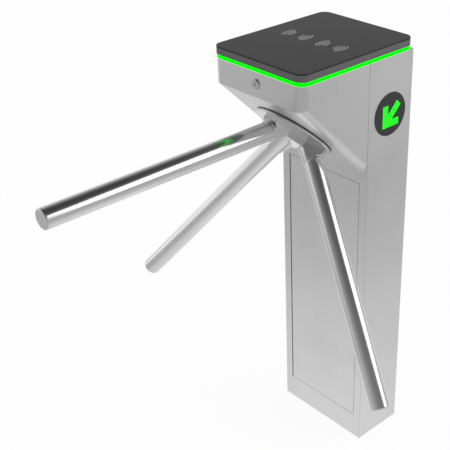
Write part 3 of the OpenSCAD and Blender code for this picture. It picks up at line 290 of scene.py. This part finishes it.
print("finishes")
finishLooks = {
    # 304 stainless sheet, satin brushed upright: even grey with soft vertical streaks
    "brushedStainless": (brushedSheet, {
        "low": "D6D6D6", "high": "DEDEDE", "toneSpan": (0.5, 0.9), "cloud": 160 * mm,
        "cloudDetail": 2.0, "linePitch": 1.2 * mm, "lineLength": 90 * mm, "along": 2,
        "lineDetail": 4.0, "lineShare": 0.6, "depth": 0.01 * mm, "rough": 0.34,
        "smoother": 0.04, "rougher": 0.05, "seam": "A8A8A8", "sideX": 128.9 * mm,
        "seamY": -66.5 * mm, "seamWidth": 1.3 * mm}),
    # 304 stainless tube, mirror polished: clear lengthwise reflections
    "polishedTube": (polishedMetal, {
        "low": "DEDEDE", "high": "E4E4E4", "rough": 0.16, "smear": 40 * mm}),
    # zinc die casting, polished and chrome plated: bright facets
    "platedCasting": (polishedMetal, {
        "low": "D8D8D8", "high": "E0E0E0", "rough": 0.07, "smear": 18 * mm}),
    # nickel-plated lock barrel and plug: a little warmer than chrome
    "platedLock": (polishedMetal, {
        "low": "C8C8C6", "high": "D6D6D4", "rough": 0.16, "smear": 6 * mm}),
    # polished bearing steel: cooler and darker than the tubes
    "bearingSteel": (polishedMetal, {
        "low": "B8BBBE", "high": "CDD0D3", "rough": 0.18, "smear": 10 * mm}),
    # bright zinc plating on pressed steel: slightly blue grey
    "zincPlate": (machinedMetal, {
        "low": "9FA3A6", "high": "B2B6B8", "rough": 0.36, "mark": 0.8 * mm}),
    # hardened and ground steel: darker, with straight grinding marks
    "groundSteel": (machinedMetal, {
        "low": "84888C", "high": "A0A4A8", "rough": 0.30, "mark": 0.6 * mm}),
    # milled aluminium plate: pale, with cutter marks
    "milledAluminium": (machinedMetal, {
        "low": "A8ABAE", "high": "BDC0C3", "rough": 0.34, "mark": 1.0 * mm}),
    # turned brass: warm yellow with fine turning marks
    "turnedBrass": (machinedMetal, {
        "low": "B08A3C", "high": "C9A252", "rough": 0.28, "mark": 0.6 * mm}),
    # dark grey powder coat on the lid's folded edge, with a fine orange peel
    "lidCoat": (skinnedSurface, {
        "low": "525252", "high": "5A5A5A", "rough": 0.5, "grain": 0.9 * mm,
        "depth": 0.015 * mm, "gloss": 0.4}),
    # black and grey powder coats on the coils, magnet and base: dull, with a fine orange peel
    "blackCoat": (skinnedSurface, {
        "low": "26282A", "high": "303234", "rough": 0.45, "grain": 0.8 * mm,
        "depth": 0.02 * mm, "gloss": 0.4}),
    "greyCoat": (skinnedSurface, {
        "low": "585D62", "high": "676C71", "rough": 0.5, "grain": 0.8 * mm,
        "depth": 0.02 * mm, "gloss": 0.4}),
    # varnished core laminations: brown-black, with the edges of the sheets as relief
    "varnishedCore": (skinnedSurface, {
        "low": "4A443E", "high": "5C554D", "rough": 0.45, "grain": 0.5 * mm,
        "depth": 0.04 * mm, "gloss": 0.5}),
    # tempered glass, painted dark behind, with pale printed signs and black reader windows
    "etchedGlass": (printedGlass, {
        "low": "262626", "high": "2B2B2B", "fade": 60 * mm, "rough": 0.42, "roughSwing": 0.05,
        "grain": 1.4 * mm, "detail": 2.0, "depth": 0.004 * mm, "gloss": 0.28,
        "symbolX": 49.5 * mm, "symbolY": -95 * mm, "topZ": 999.5 * mm, "ink": "A8A8A8",
        "arcPitch": 6.5 * mm, "arcLine": 2.2 * mm, "arcFirst": 11 * mm, "arcLast": 34 * mm,
        "halfAngle": 38, "window": "0A0A0A", "windowRadius": 5.5 * mm}),
    # smoked acrylic lens: near black and smooth
    "smokedAcrylic": (skinnedSurface, {
        "low": "272727", "high": "2D2D2D", "rough": 0.28, "grain": 8 * mm,
        "depth": 0.002 * mm, "gloss": 0.3}),
    # black moulded ABS with a spark-eroded grain
    "blackAbs": (skinnedSurface, {
        "low": "191A1C", "high": "232426", "rough": 0.5, "grain": 0.5 * mm,
        "depth": 0.02 * mm, "gloss": 0.5}),
    # grey-green moulded polyamide of the terminals
    "greyPolyamide": (skinnedSurface, {
        "low": "7F8A7E", "high": "8F9A8D", "rough": 0.5, "grain": 0.6 * mm,
        "depth": 0.02 * mm, "gloss": 0.5}),
    # machined cream acetal: waxy and even
    "creamAcetal": (skinnedSurface, {
        "low": "D6D2C4", "high": "E2DED2", "rough": 0.42, "grain": 0.7 * mm,
        "depth": 0.01 * mm, "gloss": 0.5}),
    # black moulded rubber: dull
    "blackRubber": (skinnedSurface, {
        "low": "17181A", "high": "212224", "rough": 0.75, "grain": 0.9 * mm,
        "depth": 0.04 * mm, "gloss": 0.3}),
    # green solder resist: glossy lacquer over the tracks
    "solderResist": (skinnedSurface, {
        "low": "1C5434", "high": "2C7148", "rough": 0.32, "grain": 2.5 * mm,
        "depth": 0.02 * mm, "gloss": 0.5}),
    # opal acrylic over green diodes, brighter in the strip than in the arrows
    "stripDiffuser": (litDiffuser, {
        "low": "00E800", "high": "00F400", "strength": 1.0, "diodePitch": 16 * mm}),
    "arrowDiffuser": (litDiffuser, {
        "low": "16D216", "high": "24DE24", "strength": 0.75, "diodePitch": 12 * mm}),
}
finishes = {name: make(name, look) for name, (make, look) in finishLooks.items()}

finishOfNodes = {
    "brushedStainless": "post_shell head_shell plinth_panel upper_panel door_panel",
    "polishedTube": "arm_tube_front arm_tube_right arm_tube_left arm_end_caps",
    "platedCasting": "hub rotor_disc",
    "platedLock": "lock_barrel lock_plug",
    "zincPlate": "top_frame lid_hinge_brackets lid_catch lock_nut plate_pillars arm_screws "
                 "arm_plugs detent_posts lid_hinge_pins door_pins shaft_nut pawl_pins",
    "groundSteel": "main_shaft locking_disc detent_cam right_pawl left_pawl detent_lever",
    "milledAluminium": "front_plate rear_plate bearing_housings shaft_spacers power_supply",
    "bearingSteel": "ball_bearings detent_roller detent_spring right_plunger left_plunger",
    "turnedBrass": "damper_pinion",
    "lidCoat": "lid_pan",
    "blackCoat": "solenoids door_magnet",
    "greyCoat": "base_plate",
    "varnishedCore": "transformer",
    "etchedGlass": "lid_glass",
    "smokedAcrylic": "indicator_lenses",
    "blackAbs": "indicator_housings position_sensor card_readers encoder_disc damper_body",
    "greyPolyamide": "terminal_block",
    "creamAcetal": "damper_gear",
    "blackRubber": "cable_grommet",
    "solderResist": "control_board",
    "stripDiffuser": "light_strip",
    "arrowDiffuser": "indicator_arrows",
}
for finishName, nodeNames in finishOfNodes.items():
    for nodeName in nodeNames.split():
        for slot in frame["nodes"][nodeName].material_slots:
            slot.link = "OBJECT"
            slot.material = finishes[finishName]


# Modelling helpers
def deselectAll():
    for thing in bpy.context.scene.objects:
        thing.select_set(False)


def makeActive(piece):
    deselectAll()
    piece.select_set(True)
    bpy.context.view_layer.objects.active = piece


def applyPlace(piece):
    makeActive(piece)
    bpy.ops.object.transform_apply(location=True, rotation=True, scale=True)


def finishPiece(piece, name, finishName, body):
    applyPlace(piece)
    piece.name = name
    piece.data.name = name
    piece.data.materials.clear()
    piece.data.materials.append(finishes[finishName])
    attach(piece, body)


# The hub's wall steps in between two arms: a tapered block cuts each waist. chord and floor are
# distances from the rotor's axis, and low and high count out from the slanted face
waist = {
    "turns": (30, 150, 270), "chord": 55.6 * mm, "chordHalf": 60.3 * mm,
    "floor": 43.6 * mm, "floorHalf": 20.0 * mm, "low": 6.2 * mm, "high": 60 * mm,
    "outside": 12 * mm, "facePlace": (0, -154.375 * mm, 819.075 * mm), "faceTurn": 135,
}


def selectEnd(block, way):
    # the block's end that looks along X, or back along it
    bpy.ops.object.mode_set(mode="EDIT")
    bpy.ops.mesh.select_mode(type="FACE")
    bpy.ops.mesh.select_all(action="DESELECT")
    bpy.ops.object.mode_set(mode="OBJECT")
    for face in block.data.polygons:
        face.select = face.normal.x * way > 0.9  # nearly square to X
    bpy.ops.object.mode_set(mode="EDIT")


def waistHub(hub):
    ontoFace = (Matrix.Translation(waist["facePlace"])
                @ Matrix.Rotation(math.radians(waist["faceTurn"]), 4, "X"))
    depth = waist["chord"] - waist["floor"]
    for turn in waist["turns"]:
        deselectAll()
        bpy.ops.mesh.primitive_cube_add(size=1, location=(0, 0, 0))
        block = bpy.context.object
        block.scale = (depth, 2 * waist["chordHalf"], waist["high"] - waist["low"])
        block.location = (waist["floor"] + depth / 2, 0, (waist["high"] + waist["low"]) / 2)
        applyPlace(block)
        selectEnd(block, -1)
        bpy.ops.transform.resize(value=(1, waist["floorHalf"] / waist["chordHalf"], 1))
        selectEnd(block, 1)
        bpy.ops.mesh.extrude_region_move(
            TRANSFORM_OT_translate={"value": (waist["outside"], 0, 0)})
        bpy.ops.object.mode_set(mode="OBJECT")
        block.matrix_world = ontoFace @ Matrix.Rotation(math.radians(turn), 4, "Z")
        applyPlace(block)
        makeActive(hub)
        cut = hub.modifiers.new("waist", "BOOLEAN")
        cut.operation = "DIFFERENCE"
        cut.solver = "EXACT"
        cut.object = block
        bpy.ops.object.modifier_apply(modifier="waist")
        bpy.data.objects.remove(block)


# Hub and disc again, with the small radii that polishing leaves on a casting's edges
print("hub and disc")
castEdges = {"hub": 0.9 * mm, "rotor_disc": 0.8 * mm}  # width of each one's rounding
edgeLook = {"mergeWithin": 0.005 * mm, "flatWithin": 0.3, "sharpAbove": 10.0, "segments": 2}
for nodeName, edge in castEdges.items():
    deselectAll()
    casting = frame["nodes"][nodeName].copy()
    casting.data = casting.data.copy()
    bpy.context.scene.collection.objects.link(casting)
    makeActive(casting)
    bpy.ops.object.mode_set(mode="EDIT")
    bpy.ops.mesh.select_all(action="SELECT")
    bpy.ops.mesh.remove_doubles(threshold=edgeLook["mergeWithin"])
    bpy.ops.mesh.dissolve_limited(angle_limit=math.radians(edgeLook["flatWithin"]))
    bpy.ops.object.mode_set(mode="OBJECT")
    if nodeName == "hub":
        waistHub(casting)
    rounding = casting.modifiers.new("rounding", "BEVEL")
    rounding.width = edge
    rounding.segments = edgeLook["segments"]
    rounding.limit_method = "ANGLE"
    rounding.angle_limit = math.radians(edgeLook["sharpAbove"])
    bpy.ops.object.modifier_apply(modifier="rounding")
    bpy.ops.object.shade_smooth_by_angle(angle=math.radians(edgeLook["sharpAbove"]))
    finishPiece(casting, nodeName + "_cast", "platedCasting", "rotor")
    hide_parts(nodeName)


# Camera at the photograph's own viewpoint, fitted to its edges: metres, degrees and pixels
print("camera")
view = {
    "place": (1.32346, -1.41549, 1.61993), "yaw": 46.709, "pitch": 29.426, "roll": -0.813,
    "focalPixels": 948.486, "framePixels": 450, "middlePixels": (289.958, 225.745),
    "sensor": 36.0, "clipEnd": 60,
}
cameraData = bpy.data.cameras.new("camera")
camera = bpy.data.objects.new("camera", cameraData)
bpy.context.scene.collection.objects.link(camera)
camera.matrix_world = (Matrix.Translation(view["place"])
                       @ Matrix.Rotation(math.radians(view["yaw"]), 4, "Z")
                       @ Matrix.Rotation(math.radians(90 - view["pitch"]), 4, "X")
                       @ Matrix.Rotation(math.radians(view["roll"]), 4, "Z"))
frameMiddle = (view["framePixels"] - 1) / 2
cameraData.sensor_width = view["sensor"]
cameraData.lens = view["focalPixels"] / view["framePixels"] * view["sensor"]
cameraData.shift_x = (frameMiddle - view["middlePixels"][0]) / view["framePixels"]
cameraData.shift_y = (view["middlePixels"][1] - frameMiddle) / view["framePixels"]
cameraData.clip_end = view["clipEnd"]
bpy.context.scene.camera = camera


# Pale floor, soft lamp, and a reflection tent that shows only in what is glossy: metres, degrees,
# and strengths in which 1 is white
print("studio")
studio = {
    "floorSize": 24.0, "floorColour": "FAFAFA", "whiteShare": 0.92, "worldLight": 0.85,
    "lampRadiance": 1.5, "lampWay": (38, 25), "lampFar": 3.0, "lampWidth": 2.3,
    "lampHeight": 2.0,
    "tentRadius": 5.0, "tentMiddle": (0, -0.2, 0.7), "tentSegments": 64, "tentRings": 32,
    "tentFrom": 1 * mm, "domeFrom": 2 * mm,
    "brightWay": 170, "brightSpan": (0.15, 0.7), "horizon": (0.47, 1.05),
    "fallSpan": 0.9, "ceiling": 0.12,
    "mat": (0.86, 0.5), "matSpan": (0.2, 1.3),
    "matTilt": 0.3, "matTiltWay": (-0.6, 0.8, 0), "matTiltSpan": 1.2,
}
white = (1, 1, 1, 1)


def seenDirectly(tree):
    # 1 for rays from the camera, in reflections and through glass; 0 for light that falls on things
    path = addNode(tree, "ShaderNodeLightPath")
    seen = addNode(tree, "ShaderNodeMath", {"operation": "MAXIMUM"},
                   {0: path.outputs["Is Camera Ray"], 1: path.outputs["Is Glossy Ray"]})
    return addNode(tree, "ShaderNodeMath", {"operation": "MAXIMUM"},
                   {0: seen.outputs[0], 1: path.outputs["Is Transmission Ray"]}).outputs[0]


def stagePaint(name):
    paint = bpy.data.materials.new(name)
    paint.use_nodes = True
    paint.node_tree.nodes.clear()
    return paint, paint.node_tree


deselectAll()
bpy.ops.mesh.primitive_plane_add(size=studio["floorSize"], location=(0, 0, 0))
floor = bpy.context.object
floor.name = "floor"
floorPaint, floorTree = stagePaint("paleFloor")
matt = addNode(floorTree, "ShaderNodeBsdfDiffuse",
               {"Color": linearColour(studio["floorColour"])})
glow = addNode(floorTree, "ShaderNodeEmission", {"Color": white, "Strength": 1.0})
share = addNode(floorTree, "ShaderNodeMath", {"operation": "MULTIPLY", 1: studio["whiteShare"]},
                {0: seenDirectly(floorTree)})
floorMix = addNode(floorTree, "ShaderNodeMixShader",
                   links={0: share.outputs[0], 1: matt.outputs[0], 2: glow.outputs[0]})
addNode(floorTree, "ShaderNodeOutputMaterial", links={"Surface": floorMix.outputs[0]})
floor.data.materials.append(floorPaint)

deselectAll()
bpy.ops.mesh.primitive_uv_sphere_add(
    segments=studio["tentSegments"], ring_count=studio["tentRings"],
    radius=studio["tentRadius"], location=(0, 0, 0))
tent = bpy.context.object
tent.name = "reflection_tent"
bpy.ops.object.mode_set(mode="EDIT")
bpy.ops.mesh.select_all(action="SELECT")
bpy.ops.mesh.bisect(plane_co=(0, 0, studio["tentFrom"]), plane_no=(0, 0, 1), clear_inner=True,
                    use_fill=True)
bpy.ops.object.mode_set(mode="OBJECT")
tentPaint, tentTree = stagePaint("tentPanels")
spot = addNode(tentTree, "ShaderNodeTexCoord").outputs["Object"]
# dome: bright at the horizon towards brightWay, greyer the other way, and dark overhead
outward = addNode(tentTree, "ShaderNodeVectorMath",
                  {"operation": "SUBTRACT", 1: studio["tentMiddle"]}, {0: spot})
way = addNode(tentTree, "ShaderNodeVectorMath", {"operation": "NORMALIZE"},
              {0: outward.outputs[0]})
height = addNode(tentTree, "ShaderNodeSeparateXYZ", links={"Vector": way.outputs[0]}).outputs["Z"]
brightTurn = math.radians(studio["brightWay"])
brightWay = (math.cos(brightTurn), math.sin(brightTurn), 0)
facing = addNode(tentTree, "ShaderNodeVectorMath", {"operation": "DOT_PRODUCT", 1: brightWay},
                 {0: way.outputs[0]})
horizon = addNode(tentTree, "ShaderNodeMapRange",
                  {"From Min": studio["brightSpan"][0], "From Max": studio["brightSpan"][1],
                   "To Min": studio["horizon"][0], "To Max": studio["horizon"][1]},
                  {"Value": facing.outputs["Value"]})
fall = addNode(tentTree, "ShaderNodeMapRange",
               {"From Max": studio["fallSpan"], "To Min": 1.0, "To Max": studio["ceiling"]},
               {"Value": height})
dome = addNode(tentTree, "ShaderNodeMath", {"operation": "MULTIPLY"},
               {0: horizon.outputs[0], 1: fall.outputs[0]})
# mat, the tent's flat bottom: fades outwards from the post, and lifts towards matTiltWay
apart = addNode(tentTree, "ShaderNodeVectorMath", {"operation": "LENGTH"}, {0: spot})
matGlow = addNode(tentTree, "ShaderNodeMapRange",
                  {"From Min": studio["matSpan"][0], "From Max": studio["matSpan"][1],
                   "To Min": studio["mat"][0], "To Max": studio["mat"][1]},
                  {"Value": apart.outputs["Value"]})
lifted = addNode(tentTree, "ShaderNodeVectorMath",
                 {"operation": "DOT_PRODUCT", 1: studio["matTiltWay"]}, {0: spot})
matLift = addNode(tentTree, "ShaderNodeMapRange",
                  {"From Max": studio["matTiltSpan"], "To Max": studio["matTilt"]},
                  {"Value": lifted.outputs["Value"]})
mat = addNode(tentTree, "ShaderNodeMath", {"operation": "ADD"},
              {0: matGlow.outputs[0], 1: matLift.outputs[0]})
spotZ = addNode(tentTree, "ShaderNodeSeparateXYZ", links={"Vector": spot}).outputs["Z"]
onDome = addNode(tentTree, "ShaderNodeMath",
                 {"operation": "GREATER_THAN", 1: studio["domeFrom"]}, {0: spotZ})
panels = addNode(tentTree, "ShaderNodeMix", {"data_type": "FLOAT"},
                 {0: onDome.outputs[0], 2: mat.outputs[0], 3: dome.outputs[0]})
panelGlow = addNode(tentTree, "ShaderNodeEmission", {"Color": white},
                    {"Strength": panels.outputs[0]})
addNode(tentTree, "ShaderNodeOutputMaterial", links={"Surface": panelGlow.outputs[0]})
tent.data.materials.append(tentPaint)
tent.visible_camera = False
tent.visible_diffuse = False
tent.visible_shadow = False
tent.visible_transmission = False

world = bpy.data.worlds.new("studioWorld")
bpy.context.scene.world = world
world.use_nodes = True
worldTree = world.node_tree
worldTree.nodes.clear()
level = addNode(worldTree, "ShaderNodeMapRange", {"To Min": studio["worldLight"], "To Max": 1.0},
                {"Value": seenDirectly(worldTree)})
sky = addNode(worldTree, "ShaderNodeBackground", {"Color": white},
              {"Strength": level.outputs["Result"]})
addNode(worldTree, "ShaderNodeOutputWorld", links={"Surface": sky.outputs[0]})

lampData = bpy.data.lights.new("softLamp", "AREA")
lampData.shape = "RECTANGLE"
lampData.size = studio["lampWidth"]
lampData.size_y = studio["lampHeight"]
lampData.energy = (studio["lampRadiance"] * math.pi
                   * studio["lampWidth"] * studio["lampHeight"])
lamp = bpy.data.objects.new("softLamp", lampData)
bpy.context.scene.collection.objects.link(lamp)
azimuth, elevation = (math.radians(angle) for angle in studio["lampWay"])
lampWay = Vector((math.cos(elevation) * math.cos(azimuth),
                  math.cos(elevation) * math.sin(azimuth), math.sin(elevation)))
lampPlace = Vector(studio["tentMiddle"]) + studio["lampFar"] * lampWay
lamp.matrix_world = (Matrix.Translation(lampPlace)
                     @ lampWay.to_track_quat("Z", "Y").to_matrix().to_4x4())

bpy.context.scene.view_settings.view_transform = "Standard"

print("finish")
